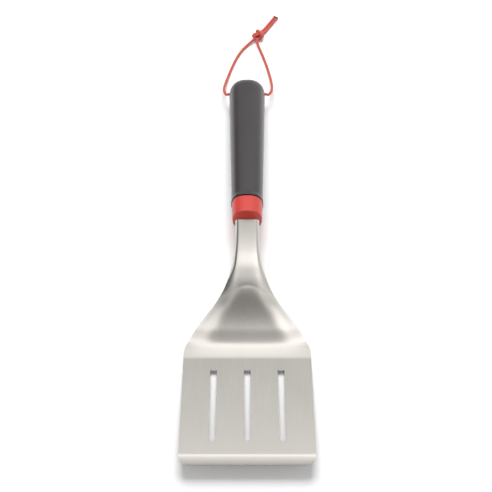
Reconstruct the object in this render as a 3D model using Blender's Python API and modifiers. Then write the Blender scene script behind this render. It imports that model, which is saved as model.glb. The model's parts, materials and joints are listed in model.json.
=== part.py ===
"""Grill spatula: a stamped stainless head, a coloured collar, a soft-touch handle and a hanging cord.

Metres, +Z up. It lies as on a table: on the bend at the back of its blade and on the free end of its
handle, with the blade's front edge a little raised. +Y runs from the blade to the handle's end.
The origin is on the table, under the middle of the spatula without its cord.
"""

import math

import bmesh
import bpy
from mathutils import Matrix, Vector

MM = 0.001
GAP = 0.3 * MM  # clearance between pieces that touch

# Head: one stamping, laid out along its own middle surface from the front edge to the tang's end.
SHEET = 1.5 * MM
BLADE_HALF_WIDTH = 49.0 * MM
BLADE_LENGTH = 85.5 * MM
LIP_LENGTH = 4.2 * MM
LIP_ANGLE = math.radians(19)  # how far the front edge is bent down from the blade
LIP_BEND_LENGTH = 3.3 * MM
CORNER_RADIUS = 6.0 * MM
BLADE_ANGLE = math.radians(-7.5)  # the blade's slope towards the handle
NECK_ANGLE = math.radians(-2.8)  # the slope of the neck, the tang and the handle
# Slope in degrees at distances behind the start of the heel bend: heel, shoulder with its boss, crown, neck.
SLOPES = (
    (0, -7.5), (2.1, -3.4), (5.8, -1.4), (9.4, 0.0), (12.2, 4.0), (14.2, 10.5), (16.0, 14.0), (18.0, 15.8),
    (20.4, 17.0), (23.0, 17.3), (27.2, 15.3), (30.5, 16.4), (34, 18.4), (42, 24.2), (49.5, 29.0),
    (54.5, 25.0), (58.2, 20.6), (60.2, 18.9), (63.6, 17.6), (66.2, 16.6), (69.5, 15.6), (76, 14.2),
    (82, 9.5), (87, 4.5), (91.5, 1.2), (96, 0.2), (101, -0.8), (110, -1.8), (118, -2.6), (122, -2.8),
)
LINE_STEP = 0.25 * MM
SHOULDER_LAG = 4.5 * MM  # how much later the shoulder rises at LAG_HALF_WIDTH than at its middle
LAG_HALF_WIDTH = 46.0 * MM
LAG_GROWTH = 20.0 * MM  # over this distance behind the blade
FACE_DISTANCE = 124.2 * MM  # from the start of the heel bend to the collar's front face
TANG_LENGTH = 88.0 * MM
TANG_HALF_WIDTH = 6.5 * MM
# Half width of the shoulder and neck at distances behind the start of the heel bend.
OUTLINE_MM = (
    (0, 49.0), (8, 48.8), (12.5, 47.7), (18.5, 44.8), (25, 41.3), (32, 36.6), (40, 30.6),
    (48, 24.4), (57, 19.2), (68, 15.0), (80, 12.2), (95, 10.6), (115, 9.9), (127, 9.9),
)
FLANGE_START = 56.0 * MM  # where the down-turned edges of the neck begin, and where they are full
FLANGE_FULL = 90.0 * MM
FLANGE_ANGLE = math.radians(78)
FLANGE_RADIUS = 2.5 * MM
FLANGE_LENGTH = 2.4 * MM
FLANGE_LEAST = 0.25  # share of the bend's and the flange's width that the flat blade's edge columns keep
# The boss: how far the sheet's sides lie under its middle, and how wide a strip lies beside the boss.
SIDE_DROP_MM = (
    (11, 0.0), (15, 0.1), (19, 0.4), (24, 0.85), (29, 1.3), (36, 1.95), (46, 3.0), (56, 3.8), (62, 3.7),
    (70, 3.1), (80, 2.2), (95, 1.2), (110, 0.6), (124, 0.2), (130, 0.0),
)
SIDE_STRIP_MM = ((8, 16), (16, 12), (24, 9.5), (33, 7.5), (40, 6.0), (46, 5.2), (52, 5.2), (57, 7.0), (66, 8.5))
BOSS_FLANK = 12.0 * MM
BOSS_POWER = 2.5
BOSS_FILLET = 1.5 * MM
ARCH_START = 20.0 * MM  # where the boss's flanks give way to the neck's even arch
ARCH_FULL = 68.0 * MM
ARCH_POWER = 3.0
GROOVE_AT = 61.5 * MM  # the faint pressed line round the boss's top
GROOVE_DEPTH = 0.13 * MM
GROOVE_LENGTH = 1.8 * MM
GROOVE_HALF_WIDTH = 9.5 * MM
GROOVE_CURVE = 35.0  # how fast it curves down sideways, per metre
SLOT_PITCH = 25.6 * MM
SLOT_WIDTH = 5.2 * MM
SLOT_LENGTH = 64.0 * MM
SLOT_SETBACK = 10.3 * MM  # from the start of the heel bend to the slots' rear ends
HALF_COLUMNS = (0.0, 0.12, 0.24, 0.36, 0.48, 0.58, 0.67, 0.75, 0.83, 0.91, 1.0)
FLANGE_STEPS = 3

# Handle, measured along its axis from the collar's front face.
AXIS_UNDER_NECK = 0.2 * MM
COLLAR_LENGTH = 16.7 * MM
COLLAR_FRONT_HALF_WIDTH = 12.15 * MM
COLLAR_REAR_HALF_WIDTH = 12.95 * MM
COLLAR_WALL = 1.9 * MM
COLLAR_FRONT_WALL = 2.6 * MM
SLEEVE_START = 17.5 * MM
SLEEVE_WALL = 2.2 * MM
MOUTH_HALF_WIDTH = 13.45 * MM
WAIST_HALF_WIDTH = 13.05 * MM
WAIST_AT = 22.0 * MM
WIDEST_HALF_WIDTH = 16.3 * MM
WIDEST_AT = 150.0 * MM
DOME_START = 152.0 * MM
HANDLE_END = 166.8 * MM
DOME_POWER = 2.6
SECTION_POWER = 2.4
RING_POINTS = 32
CORE_START = 8.0 * MM
PIN_RADIUS = 2.0 * MM
PIN_PLACES = (34.0 * MM, 76.0 * MM)
PIN_HALF_LENGTHS = (7.6 * MM, 8.6 * MM)

# Cord.
HOLE_AT = 156.0 * MM
HOLE_RADIUS = 2.2 * MM
CORD_RADIUS = 1.25 * MM
# Where the cord runs, in millimetres: sideways, back from its hole, and up from the table.
LEFT_ROUTE_MM = (
    (-0.4, 0.0, None), (-6, 0.0, None), (-12, 0.0, None), (-16.5, 0.1, None), (-19.4, 2.2, 13.4),
    (-21.2, 8, 11.6), (-21.6, 15.5, 8.4), (-20.8, 24, 5.2), (-19.0, 34, 2.6), (-16.4, 45, 1.5),
    (-13.0, 56.5, 1.35), (-8.8, 68, 1.35), (-4.0, 77.5, 1.35), (0.8, 84, 1.7), (5.0, 88.3, 2.7),
)
RIGHT_ROUTE_MM = (
    (0.4, 0.0, None), (6, 0.0, None), (12, 0.0, None), (16.6, 0.1, None), (20.0, 2.2, 13.4),
    (22.4, 8, 11.6), (23.4, 16.5, 8.2), (23.2, 26, 5.0), (22.2, 36, 2.6), (20.4, 47, 1.5),
    (17.8, 58.5, 1.35), (14.8, 70, 1.35), (12.0, 79.5, 1.6), (10.0, 86.2, 2.7),
)
KNOT_CENTRE_MM = (11.6, 95.2, 3.9)
KNOT_SIZE_MM = (9.6, 13.4, 7.2)
KNOT_TURN = math.radians(-30)
LEFT_TAIL_MM = ((14.2, 102.6, 2.6), (17.4, 108.4, 1.5), (21.4, 115.2, 1.35), (27.0, 125.0, 1.35))
RIGHT_TAIL_MM = ((17.0, 101.2, 2.6), (20.3, 106.6, 1.5), (24.4, 113.6, 1.35), (29.8, 123.0, 1.35))
TIP_LENGTH = 2.2 * MM
CORD_STEP = 2.6 * CORD_RADIUS

STEEL = ("stainless", (0.62, 0.60, 0.58), 0.32, 1.0)
PIN_STEEL = ("pin_steel", (0.55, 0.55, 0.56), 0.35, 1.0)
RED_PLASTIC = ("red_plastic", (0.72, 0.07, 0.05), 0.45, 0.0)
SOFT_GRIP = ("soft_grip", (0.045, 0.045, 0.05), 0.6, 0.0)
CORE_PLASTIC = ("core_plastic", (0.03, 0.03, 0.03), 0.5, 0.0)
RED_CORD = ("red_cord", (0.80, 0.10, 0.06), 0.8, 0.0)
MELTED_CORD = ("melted_cord", (0.22, 0.03, 0.03), 0.5, 0.0)


def clear_scene():
    for obj in list(bpy.data.objects):
        bpy.data.objects.remove(obj, do_unlink=True)


def new_collection(name, shown=True):
    collection = bpy.data.collections.new(name)
    bpy.context.scene.collection.children.link(collection)
    collection.hide_render = not shown
    return collection


def material(name, colour, roughness, metallic):
    made = bpy.data.materials.get(name)
    if made:
        return made
    made = bpy.data.materials.new(name)
    made.use_nodes = True
    shader = made.node_tree.nodes["Principled BSDF"]
    shader.inputs["Base Color"].default_value = (*colour, 1.0)
    shader.inputs["Roughness"].default_value = roughness
    shader.inputs["Metallic"].default_value = metallic
    return made


def add_object(name, bm, collection, finish=None, parent=None):
    """Puts a finished bmesh in the scene as one smooth-shaded object."""
    bmesh.ops.recalc_face_normals(bm, faces=bm.faces)
    mesh = bpy.data.meshes.new(name)
    bm.to_mesh(mesh)
    bm.free()
    mesh.shade_smooth()
    mesh.set_sharp_from_angle(angle=math.radians(35))
    obj = bpy.data.objects.new(name, mesh)
    collection.objects.link(obj)
    obj.parent = parent
    if finish:
        mesh.materials.append(material(*finish))
    return obj


def add_cutter(name, bm, parent=None):
    obj = add_object(name, bm, bpy.data.collections["cutters"], parent=parent)
    obj.hide_render = True
    obj.display_type = "WIRE"
    return obj


def cut(obj, cutter):
    modifier = obj.modifiers.new(cutter.name, "BOOLEAN")
    modifier.operation = "DIFFERENCE"
    modifier.solver = "EXACT"
    modifier.object = cutter


def box(size, centre, turn=None):
    bm = bmesh.new()
    bmesh.ops.create_cube(bm, size=1.0)
    bmesh.ops.scale(bm, vec=size, verts=bm.verts)
    if turn:
        bmesh.ops.rotate(bm, matrix=turn, verts=bm.verts)
    bmesh.ops.translate(bm, vec=centre, verts=bm.verts)
    return bm


def rod(radius, length, axis, centre, segments=24):
    """A cylinder along axis "X" or "Z"."""
    bm = bmesh.new()
    bmesh.ops.create_cone(
        bm, cap_ends=True, segments=segments, radius1=radius, radius2=radius, depth=length
    )
    if axis == "X":
        bmesh.ops.rotate(bm, matrix=Matrix.Rotation(math.pi / 2, 3, "Y"), verts=bm.verts)
    bmesh.ops.translate(bm, vec=centre, verts=bm.verts)
    return bm


def smoothstep(low, high, value):
    t = min(1.0, max(0.0, (value - low) / (high - low)))
    return t * t * (3 - 2 * t)


def between(points, at):
    """Value at a place on the smooth curve through (place, value) points, by Hermite stretches."""
    if at <= points[0][0]:
        return points[0][1]
    if at >= points[-1][0]:
        return points[-1][1]
    i = max(k for k in range(len(points) - 1) if points[k][0] <= at)

    def slope(k):
        low = points[max(k - 1, 0)]
        high = points[min(k + 1, len(points) - 1)]
        return (high[1] - low[1]) / (high[0] - low[0])

    (x0, h0), (x1, h1) = points[i], points[i + 1]
    step = x1 - x0
    t = (at - x0) / step
    return (
        (2 * t**3 - 3 * t**2 + 1) * h0
        + (t**3 - 2 * t**2 + t) * step * slope(i)
        + (3 * t**2 - 2 * t**3) * h1
        + (t**3 - t**2) * step * slope(i + 1)
    )


def slope_at(at):
    """Slope of the sheet at a distance along it, in radians."""
    if at >= 0:
        return math.radians(between(SLOPES, at / MM))
    bent = min(1.0, max(0.0, (-BLADE_LENGTH - at) / LIP_BEND_LENGTH))
    return BLADE_ANGLE + LIP_ANGLE * bent


def side_line(end):
    """Finely spaced (distance, y, z) points of the side view, from the bend to a distance along the sheet."""
    steps = max(1, round(abs(end) / LINE_STEP))
    step = end / steps
    line = [(0.0, 0.0, 0.0)]
    for i in range(steps):
        _, y, z = line[-1]
        angle = slope_at(step * (i + 0.5))
        line.append((step * (i + 1), y + step * math.cos(angle), z + step * math.sin(angle)))
    return line


def head_front():
    """Distance of the front edge from the start of the heel bend."""
    return -(BLADE_LENGTH + LIP_BEND_LENGTH + LIP_LENGTH)


def head_line():
    """The side view of the sheet's middle surface from the front edge to the tang's end."""
    back = FACE_DISTANCE + 7 * MM + TANG_LENGTH
    return side_line(head_front())[:0:-1] + side_line(back)


def on_line(line, at):
    """(y, z) of the side view at a distance along the sheet."""
    low = line[0][0]
    share = (at - low) / (line[-1][0] - low)
    k = min(len(line) - 2, max(0, int(share * (len(line) - 1))))
    while k > 0 and line[k][0] > at:
        k -= 1
    while k < len(line) - 2 and line[k + 1][0] < at:
        k += 1
    (at0, y0, z0), (at1, y1, z1) = line[k], line[k + 1]
    share = (at - at0) / (at1 - at0)
    return y0 + (y1 - y0) * share, z0 + (z1 - z0) * share


def row_places():
    """Distances along the sheet of the mesh's rows, closest where it is most shaped."""
    front = head_front()
    places = [front + CORNER_RADIUS * (1 - math.cos(math.pi / 2 * i / 6)) for i in range(7)]
    face = FACE_DISTANCE
    stretches = (
        (-BLADE_LENGTH, 2), (0.0, 6), (20 * MM, 12), (80 * MM, 28), (112 * MM, 8),
        (face + 3 * MM, 4), (face + 7 * MM, 3), (face + 7 * MM + TANG_LENGTH, 2),
    )
    for end, steps in stretches:
        start = places[-1]
        places += [start + (end - start) * (i + 1) / steps for i in range(steps)]
    return places


def lagged_rise(line, x, at):
    """How far a point lies under the middle of the sheet, because the shoulder rises later at its sides."""
    if at <= 0:
        return 0.0
    lag = SHOULDER_LAG * min(1.0, abs(x) / LAG_HALF_WIDTH) ** 4 * smoothstep(0.0, LAG_GROWTH, at)
    late_y, late_z = on_line(line, at - lag)
    y, z = on_line(line, at)
    return late_z - z - (late_y - y) * math.tan(BLADE_ANGLE)


def place_profile(line):
    """Sets the side view on the table and over the origin. Gives the line and the collar face's place."""
    heel = [row for row in line if 0 <= row[0] < 40 * MM]
    heel_depth = min(
        z + lagged_rise(line, x, at) - side_drop(x, at)
        for at, _, z in heel
        for x in (0.0, half_width(at))
    )
    face_y, face_z = on_line(line, FACE_DISTANCE)
    tip_y = face_y + HANDLE_END * math.cos(NECK_ANGLE)
    lip_corner_y = line[0][1] - SHEET / 2 * math.sin(slope_at(line[0][0]))
    middle = (lip_corner_y + tip_y) / 2
    lift = SHEET / 2 - heel_depth
    placed = [(at, y - middle, z + lift) for at, y, z in line]
    return placed, Vector((0.0, face_y - middle, face_z + lift))


def half_width(at):
    """Half width of the sheet, with the front corners rounded off and the tang drawn in."""
    wide = between(OUTLINE_MM, at / MM) * MM
    tang = smoothstep(FACE_DISTANCE + 3 * MM, FACE_DISTANCE + 7 * MM, at)
    inward = CORNER_RADIUS - min(CORNER_RADIUS, at - head_front())
    corner = CORNER_RADIUS - math.sqrt(CORNER_RADIUS**2 - inward**2)
    return wide + (TANG_HALF_WIDTH - wide) * tang - corner


def side_drop(x, at):
    """How far the sheet lies under its middle: off the boss's flanks, then over the neck's arch."""
    depth = between(SIDE_DROP_MM, at / MM) * MM
    if depth <= 0:
        return 0.0
    wide = half_width(at)
    inset = (wide - between(SIDE_STRIP_MM, at / MM) * MM - abs(x)) / BOSS_FILLET
    inset = BOSS_FILLET * (inset if inset > 30 else math.log(1 + math.exp(inset)))
    flank = (1 - min(1.0, inset / BOSS_FLANK)) ** BOSS_POWER
    arch = min(1.0, abs(x) / wide) ** ARCH_POWER
    return depth * (flank + (arch - flank) * smoothstep(ARCH_START, ARCH_FULL, at))


def groove(x, at):
    """Depth of the pressed line round the top of the boss."""
    off = (at - GROOVE_AT + GROOVE_CURVE * x * x) / GROOVE_LENGTH
    return GROOVE_DEPTH * math.exp(-(off**2) - (x / GROOVE_HALF_WIDTH) ** 2)


def flange_turn(at):
    """How far the sheet's edges are turned down."""
    drawn_in = smoothstep(FACE_DISTANCE + 3 * MM, FACE_DISTANCE + 7 * MM, at)
    return FLANGE_ANGLE * smoothstep(FLANGE_START, FLANGE_FULL, at) * (1 - drawn_in)


def edge_bend(turned, share):
    """How far out and down a share of the edge bend reaches when the whole bend turns by an angle."""
    full = FLANGE_RADIUS * FLANGE_ANGLE
    length = full * max(FLANGE_LEAST, turned / FLANGE_ANGLE)
    if turned < 1e-4:
        return length * share, 0.0
    radius = length / turned
    return radius * math.sin(turned * share), radius * (1 - math.cos(turned * share))


def across_section(column, wide, turned):
    """Sideways place and drop of a point: across the flat, round the edge bend and down the flange."""
    side = -1 if column < 0 else 1
    step = abs(column)
    last_flat = len(HALF_COLUMNS) - 1
    flange = FLANGE_LENGTH * max(FLANGE_LEAST, turned / FLANGE_ANGLE)
    reach = edge_bend(turned, 1.0)[0] + flange * math.cos(turned) + SHEET / 2 * math.sin(turned)
    flat = wide - reach
    if step <= last_flat:
        return side * flat * HALF_COLUMNS[step], 0.0
    out, drop = edge_bend(turned, min(1.0, (step - last_flat) / FLANGE_STEPS))
    if step > last_flat + FLANGE_STEPS:
        out += flange * math.cos(turned)
        drop += flange * math.sin(turned)
    return side * (flat + out), drop


def head_sheet(line):
    """The stamping's middle surface as a grid that follows its side view and outline."""
    half_count = len(HALF_COLUMNS) + FLANGE_STEPS
    rows = row_places()
    bm = bmesh.new()
    bmesh.ops.create_grid(bm, x_segments=2 * half_count, y_segments=len(rows) - 1, size=1.0)
    for vert in bm.verts:
        column = round(vert.co.x * half_count)
        at = rows[round((vert.co.y + 1) / 2 * (len(rows) - 1))]
        y, z = on_line(line, at)
        angle = slope_at(at)
        x, drop = across_section(column, half_width(at), flange_turn(at))
        rise = -drop - side_drop(x, at) - groove(x, at)
        z += lagged_rise(line, x, at)
        vert.co = (x, y - rise * math.sin(angle), z + rise * math.cos(angle))
    return bm


def make_head(collection, line, handle):
    head = add_object("head", head_sheet(line), collection, STEEL)
    solidify = head.modifiers.new("sheet", "SOLIDIFY")
    solidify.thickness = SHEET
    solidify.offset = 0.0
    y, z = on_line(line, -SLOT_SETBACK - SLOT_LENGTH / 2)
    tilt = Matrix.Rotation(BLADE_ANGLE, 3, "X")
    for number in (-1, 0, 1):
        size = (SLOT_WIDTH, SLOT_LENGTH, 8 * SHEET)
        slot = box(size, (number * SLOT_PITCH, y, z), tilt)
        cut(head, add_cutter(f"slot_cutter_{number + 2}", slot))
    for place in PIN_PLACES:
        hole = rod(PIN_RADIUS + GAP, 8 * SHEET, "Z", (0, place, 0))
        cut(head, add_cutter(f"tang_hole_cutter_{place:.3f}", hole, handle))
    return head


def sleeve_half_width(at):
    """Outer half width of the handle at a distance from the collar's front face."""
    taper = (at - WAIST_AT) / (WIDEST_AT - WAIST_AT)
    body = WAIST_HALF_WIDTH + (WIDEST_HALF_WIDTH - WAIST_HALF_WIDTH) * min(1.0, max(0.0, taper))
    flare = MOUTH_HALF_WIDTH - WAIST_HALF_WIDTH
    return body + flare * (1 - smoothstep(SLEEVE_START + 1 * MM, WAIST_AT, at))


def dome_share(at, start, end):
    """Share of the full section that is left at a distance into the domed end."""
    t = min(1.0, max(0.0, (at - start) / (end - start)))
    return (1 - t**DOME_POWER) ** (1 / DOME_POWER)


def section_ring(bm, at, half_x, half_z):
    """One rounded-square ring of points across the handle's axis."""
    verts = []
    for i in range(RING_POINTS):
        turn = 2 * math.pi * i / RING_POINTS
        c, s = math.cos(turn), math.sin(turn)
        x = half_x * math.copysign(abs(c) ** (2 / SECTION_POWER), c)
        z = half_z * math.copysign(abs(s) ** (2 / SECTION_POWER), s)
        verts.append(bm.verts.new((x, at, z)))
    edges = [bm.edges.new((verts[i - 1], verts[i])) for i in range(RING_POINTS)]
    return edges


def loft(stations, close_front=True, pole=None):
    """Rings through (distance, half_x, half_z) stations, bridged, with a flat front and a pole or cap."""
    bm = bmesh.new()
    rings = [section_ring(bm, *station) for station in stations]
    for front, back in zip(rings, rings[1:]):
        bmesh.ops.bridge_loops(bm, edges=front + back)
    if close_front:
        bmesh.ops.contextual_create(bm, geom=rings[0])
    if pole is None:
        bmesh.ops.contextual_create(bm, geom=rings[-1])
    else:
        cap = bmesh.ops.contextual_create(bm, geom=rings[-1])["faces"]
        middle = bmesh.ops.poke(bm, faces=cap)["verts"][0]
        middle.co = (0, pole, 0)
    return bm


def handle_stations(height_share, inset=0.0, start=SLEEVE_START):
    """Stations of the handle's outer surface, moved inwards by inset."""
    places = [start, start + 1 * MM, start + 2.6 * MM, WAIST_AT + 1 * MM]
    steps = 7
    places += [WAIST_AT + (DOME_START - WAIST_AT) * (i + 1) / steps for i in range(steps)]
    end = HANDLE_END - inset
    stations = []
    for at in places:
        wide = sleeve_half_width(at)
        stations.append((at, wide - inset, wide * height_share - inset))
    wide = sleeve_half_width(DOME_START)
    for share in (0.3, 0.52, 0.7, 0.83, 0.92, 0.97, 0.993):
        at = DOME_START + (end - DOME_START) * share
        left = dome_share(at, DOME_START, end)
        stations.append((at, (wide - inset) * left, (wide * height_share - inset) * left))
    return stations, end


def make_sleeve(collection, handle, height_share):
    stations, end = handle_stations(height_share)
    bm = loft(stations, close_front=False, pole=end)
    sleeve = add_object("grip_sleeve", bm, collection, SOFT_GRIP, handle)
    solidify = sleeve.modifiers.new("wall", "SOLIDIFY")
    solidify.thickness = SLEEVE_WALL
    solidify.offset = -1.0
    hole = rod(HOLE_RADIUS, 3 * WIDEST_HALF_WIDTH, "X", (0, HOLE_AT, 0))
    cut(sleeve, add_cutter("sleeve_hole_cutter", hole, handle))


def make_core(collection, handle, height_share):
    inset = SLEEVE_WALL + 2 * GAP
    stations, end = handle_stations(height_share, inset, SLEEVE_START + GAP)
    spigot = COLLAR_FRONT_HALF_WIDTH - COLLAR_WALL - 1.5 * GAP
    spigot_high = COLLAR_FRONT_HALF_WIDTH * height_share - COLLAR_WALL - GAP
    front = [(at, spigot, spigot_high) for at in (CORE_START, SLEEVE_START - GAP)]
    bm = loft(front + stations, pole=end)
    core = add_object("handle_core", bm, collection, CORE_PLASTIC, handle)
    depth = COLLAR_LENGTH + TANG_LENGTH
    size = (2 * (TANG_HALF_WIDTH + GAP), depth, SHEET + 2 * GAP)
    slot = box(size, (0, depth / 2, AXIS_UNDER_NECK))
    cut(core, add_cutter("tang_slot_cutter", slot, handle))
    for place in PIN_PLACES:
        hole = rod(PIN_RADIUS + GAP, 3 * WIDEST_HALF_WIDTH, "Z", (0, place, 0))
        cut(core, add_cutter(f"core_pin_cutter_{place:.3f}", hole, handle))
    hole = rod(HOLE_RADIUS, 3 * WIDEST_HALF_WIDTH, "X", (0, HOLE_AT, 0))
    cut(core, add_cutter("core_hole_cutter", hole, handle))


def make_pins(collection, handle):
    for name, place, half in zip(("tang_pin_front", "tang_pin_rear"), PIN_PLACES, PIN_HALF_LENGTHS):
        bm = rod(PIN_RADIUS, 2 * half, "Z", (0, 0, 0))
        pin = add_object(name, bm, collection, PIN_STEEL, handle)
        pin.location = (0, place, 0)


def make_collar(collection, handle, height_share):
    def outside(at, wide):
        return (at, wide, wide * height_share)

    edge = 0.7 * MM
    middle = (COLLAR_FRONT_HALF_WIDTH + COLLAR_REAR_HALF_WIDTH) / 2
    bm = loft(
        [
            outside(0, COLLAR_FRONT_HALF_WIDTH - edge),
            outside(0.3 * edge, COLLAR_FRONT_HALF_WIDTH - 0.3 * edge),
            outside(edge, COLLAR_FRONT_HALF_WIDTH),
            outside(0.55 * COLLAR_LENGTH, middle),
            outside(COLLAR_LENGTH - 0.4 * MM, COLLAR_REAR_HALF_WIDTH),
            outside(COLLAR_LENGTH, COLLAR_REAR_HALF_WIDTH - 0.3 * MM),
        ]
    )
    collar = add_object("collar", bm, collection, RED_PLASTIC, handle)
    inner = COLLAR_FRONT_HALF_WIDTH - COLLAR_WALL
    inner_high = COLLAR_FRONT_HALF_WIDTH * height_share - COLLAR_WALL
    hollow = loft(
        [(COLLAR_FRONT_WALL, inner, inner_high), (COLLAR_LENGTH + 2 * MM, inner, inner_high)]
    )
    cut(collar, add_cutter("collar_hollow_cutter", hollow, handle))
    mouth_top = AXIS_UNDER_NECK + SHEET / 2 + GAP
    flange_drop = FLANGE_RADIUS * (1 - math.cos(FLANGE_ANGLE)) + FLANGE_LENGTH * math.sin(FLANGE_ANGLE)
    mouth_bottom = AXIS_UNDER_NECK - SHEET / 2 - flange_drop - GAP
    wide = 2 * (OUTLINE_MM[-1][1] * MM + GAP)
    size = (wide, 4 * COLLAR_FRONT_WALL, mouth_top - mouth_bottom)
    mouth = box(size, (0, 0, (mouth_top + mouth_bottom) / 2))
    cut(collar, add_cutter("collar_mouth_cutter", mouth, handle))


def smooth_route(points):
    """Evenly spaced points on the smooth curve through a cord's route."""
    points = [Vector(p) for p in points]
    ends = [2 * points[0] - points[1]] + points + [2 * points[-1] - points[-2]]
    fine = []
    for a, b, c, d in zip(ends, ends[1:], ends[2:], ends[3:]):
        for step in range(12):
            t = step / 12
            fine.append(
                0.5 * (2 * b + (c - a) * t + (2 * a - 5 * b + 4 * c - d) * t**2
                       + (3 * b - 3 * c + d - a) * t**3)
            )
    fine.append(points[-1])
    lengths = [0.0]
    for a, b in zip(fine, fine[1:]):
        lengths.append(lengths[-1] + (b - a).length)
    count = max(2, round(lengths[-1] / CORD_STEP))
    even = []
    for i in range(count + 1):
        want = lengths[-1] * i / count
        k = min(len(fine) - 2, max(j for j in range(len(fine)) if lengths[j] <= want + 1e-12))
        share = (want - lengths[k]) / (lengths[k + 1] - lengths[k])
        even.append(fine[k].lerp(fine[k + 1], share))
    return even


def make_tube(name, collection, parent, points, finish):
    """A round cord along points, in the space of its parent empty."""
    curve = bpy.data.curves.new(name, "CURVE")
    curve.dimensions = "3D"
    curve.bevel_depth = CORD_RADIUS
    curve.bevel_resolution = 2
    curve.use_fill_caps = True
    spline = curve.splines.new("POLY")
    spline.points.add(len(points) - 1)
    for target, point in zip(spline.points, points):
        target.co = (*point, 1.0)
    curve.materials.append(material(*finish))
    obj = bpy.data.objects.new(name, curve)
    collection.objects.link(obj)
    obj.parent = parent
    return obj


def route_points(route, hole_height):
    """A route in its hinge's space: a height of None means level with the hole."""
    points = []
    for x, y, z in route:
        up = 0.0 if z is None else z * MM - hole_height
        points.append((x * MM, y * MM, up))
    return points


def make_cord(collection, hinge, hole_height):
    for name, route in (("cord_left", LEFT_ROUTE_MM), ("cord_right", RIGHT_ROUTE_MM)):
        points = smooth_route(route_points(route, hole_height))
        make_tube(name, collection, hinge, points, RED_CORD)
    for side, route in (("left", LEFT_TAIL_MM), ("right", RIGHT_TAIL_MM)):
        points = smooth_route(route_points(route, hole_height))
        make_tube(f"cord_tail_{side}", collection, hinge, points, RED_CORD)
        along = (points[-1] - points[-2]).normalized()
        start = points[-1] + along * GAP
        make_tube(f"cord_tip_{side}", collection, hinge, [start, start + along * TIP_LENGTH], MELTED_CORD)
    bm = bmesh.new()
    bmesh.ops.create_uvsphere(bm, u_segments=20, v_segments=12, radius=0.5)
    bmesh.ops.scale(bm, vec=Vector(KNOT_SIZE_MM) * MM, verts=bm.verts)
    knot = add_object("cord_knot", bm, collection, RED_CORD, hinge)
    knot.location = route_points([KNOT_CENTRE_MM], hole_height)[0]
    knot.rotation_euler.z = KNOT_TURN


def main():
    clear_scene()
    collection = new_collection("grill_spatula")
    new_collection("cutters", shown=False)
    line, face = place_profile(head_line())
    handle = bpy.data.objects.new("handle_axis", None)
    collection.objects.link(handle)
    handle.location = face - Vector((0, 0, AXIS_UNDER_NECK))
    handle.rotation_euler.x = NECK_ANGLE
    end_half_height = (handle.location.z + DOME_START * math.sin(NECK_ANGLE)) / math.cos(NECK_ANGLE)
    height_share = end_half_height / WIDEST_HALF_WIDTH
    make_head(collection, line, handle)
    make_sleeve(collection, handle, height_share)
    make_core(collection, handle, height_share)
    make_pins(collection, handle)
    make_collar(collection, handle, height_share)
    hinge = bpy.data.objects.new("cord_hinge", None)
    collection.objects.link(hinge)
    hinge.location = handle.location + Vector(
        (0, HOLE_AT * math.cos(NECK_ANGLE), HOLE_AT * math.sin(NECK_ANGLE))
    )
    make_cord(collection, hinge, hinge.location.z)


main()
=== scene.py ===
"""Looks of a grill spatula: stamped steel head, red collar, soft grip, pins, core and a hanging cord.

Everything is in metres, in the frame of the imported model: +Z up, +Y from the blade to the handle's end.
"""

import bisect
import json
import logging
import math
from dataclasses import dataclass, field
from enum import Enum
from typing import Sequence

import bmesh
import bpy
from mathutils import Matrix, Vector

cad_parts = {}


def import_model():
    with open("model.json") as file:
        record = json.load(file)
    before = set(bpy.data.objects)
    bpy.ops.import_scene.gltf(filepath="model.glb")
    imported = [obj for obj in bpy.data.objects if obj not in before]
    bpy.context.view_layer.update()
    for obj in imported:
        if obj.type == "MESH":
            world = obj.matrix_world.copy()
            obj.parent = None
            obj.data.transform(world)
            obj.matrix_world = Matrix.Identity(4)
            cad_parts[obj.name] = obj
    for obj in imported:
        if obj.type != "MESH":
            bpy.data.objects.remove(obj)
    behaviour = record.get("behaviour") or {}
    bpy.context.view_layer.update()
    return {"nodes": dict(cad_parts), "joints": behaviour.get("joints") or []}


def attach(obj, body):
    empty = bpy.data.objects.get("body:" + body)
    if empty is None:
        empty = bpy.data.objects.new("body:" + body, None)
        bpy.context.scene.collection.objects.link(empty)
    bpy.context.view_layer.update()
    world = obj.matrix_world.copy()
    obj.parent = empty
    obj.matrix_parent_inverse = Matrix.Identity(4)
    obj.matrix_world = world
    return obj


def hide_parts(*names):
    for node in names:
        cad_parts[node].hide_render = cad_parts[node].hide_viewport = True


MM = 0.001
GAP = 0.3 * MM
LOG = logging.getLogger("grill_spatula")


class Slot(Enum):
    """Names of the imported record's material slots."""

    STEEL = "stainless"
    GRIP = "soft_grip"
    COLLAR = "red_plastic"
    CORD = "red_cord"
    MELTED = "melted_cord"


class Body(Enum):
    """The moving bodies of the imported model."""

    SPATULA = "spatula"
    CORD = "cord"


class Side(Enum):
    """The two sides of the handle that the cord leaves from."""

    LEFT = "left"
    RIGHT = "right"


# ---------------------------------------------------------------- shader tools


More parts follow.
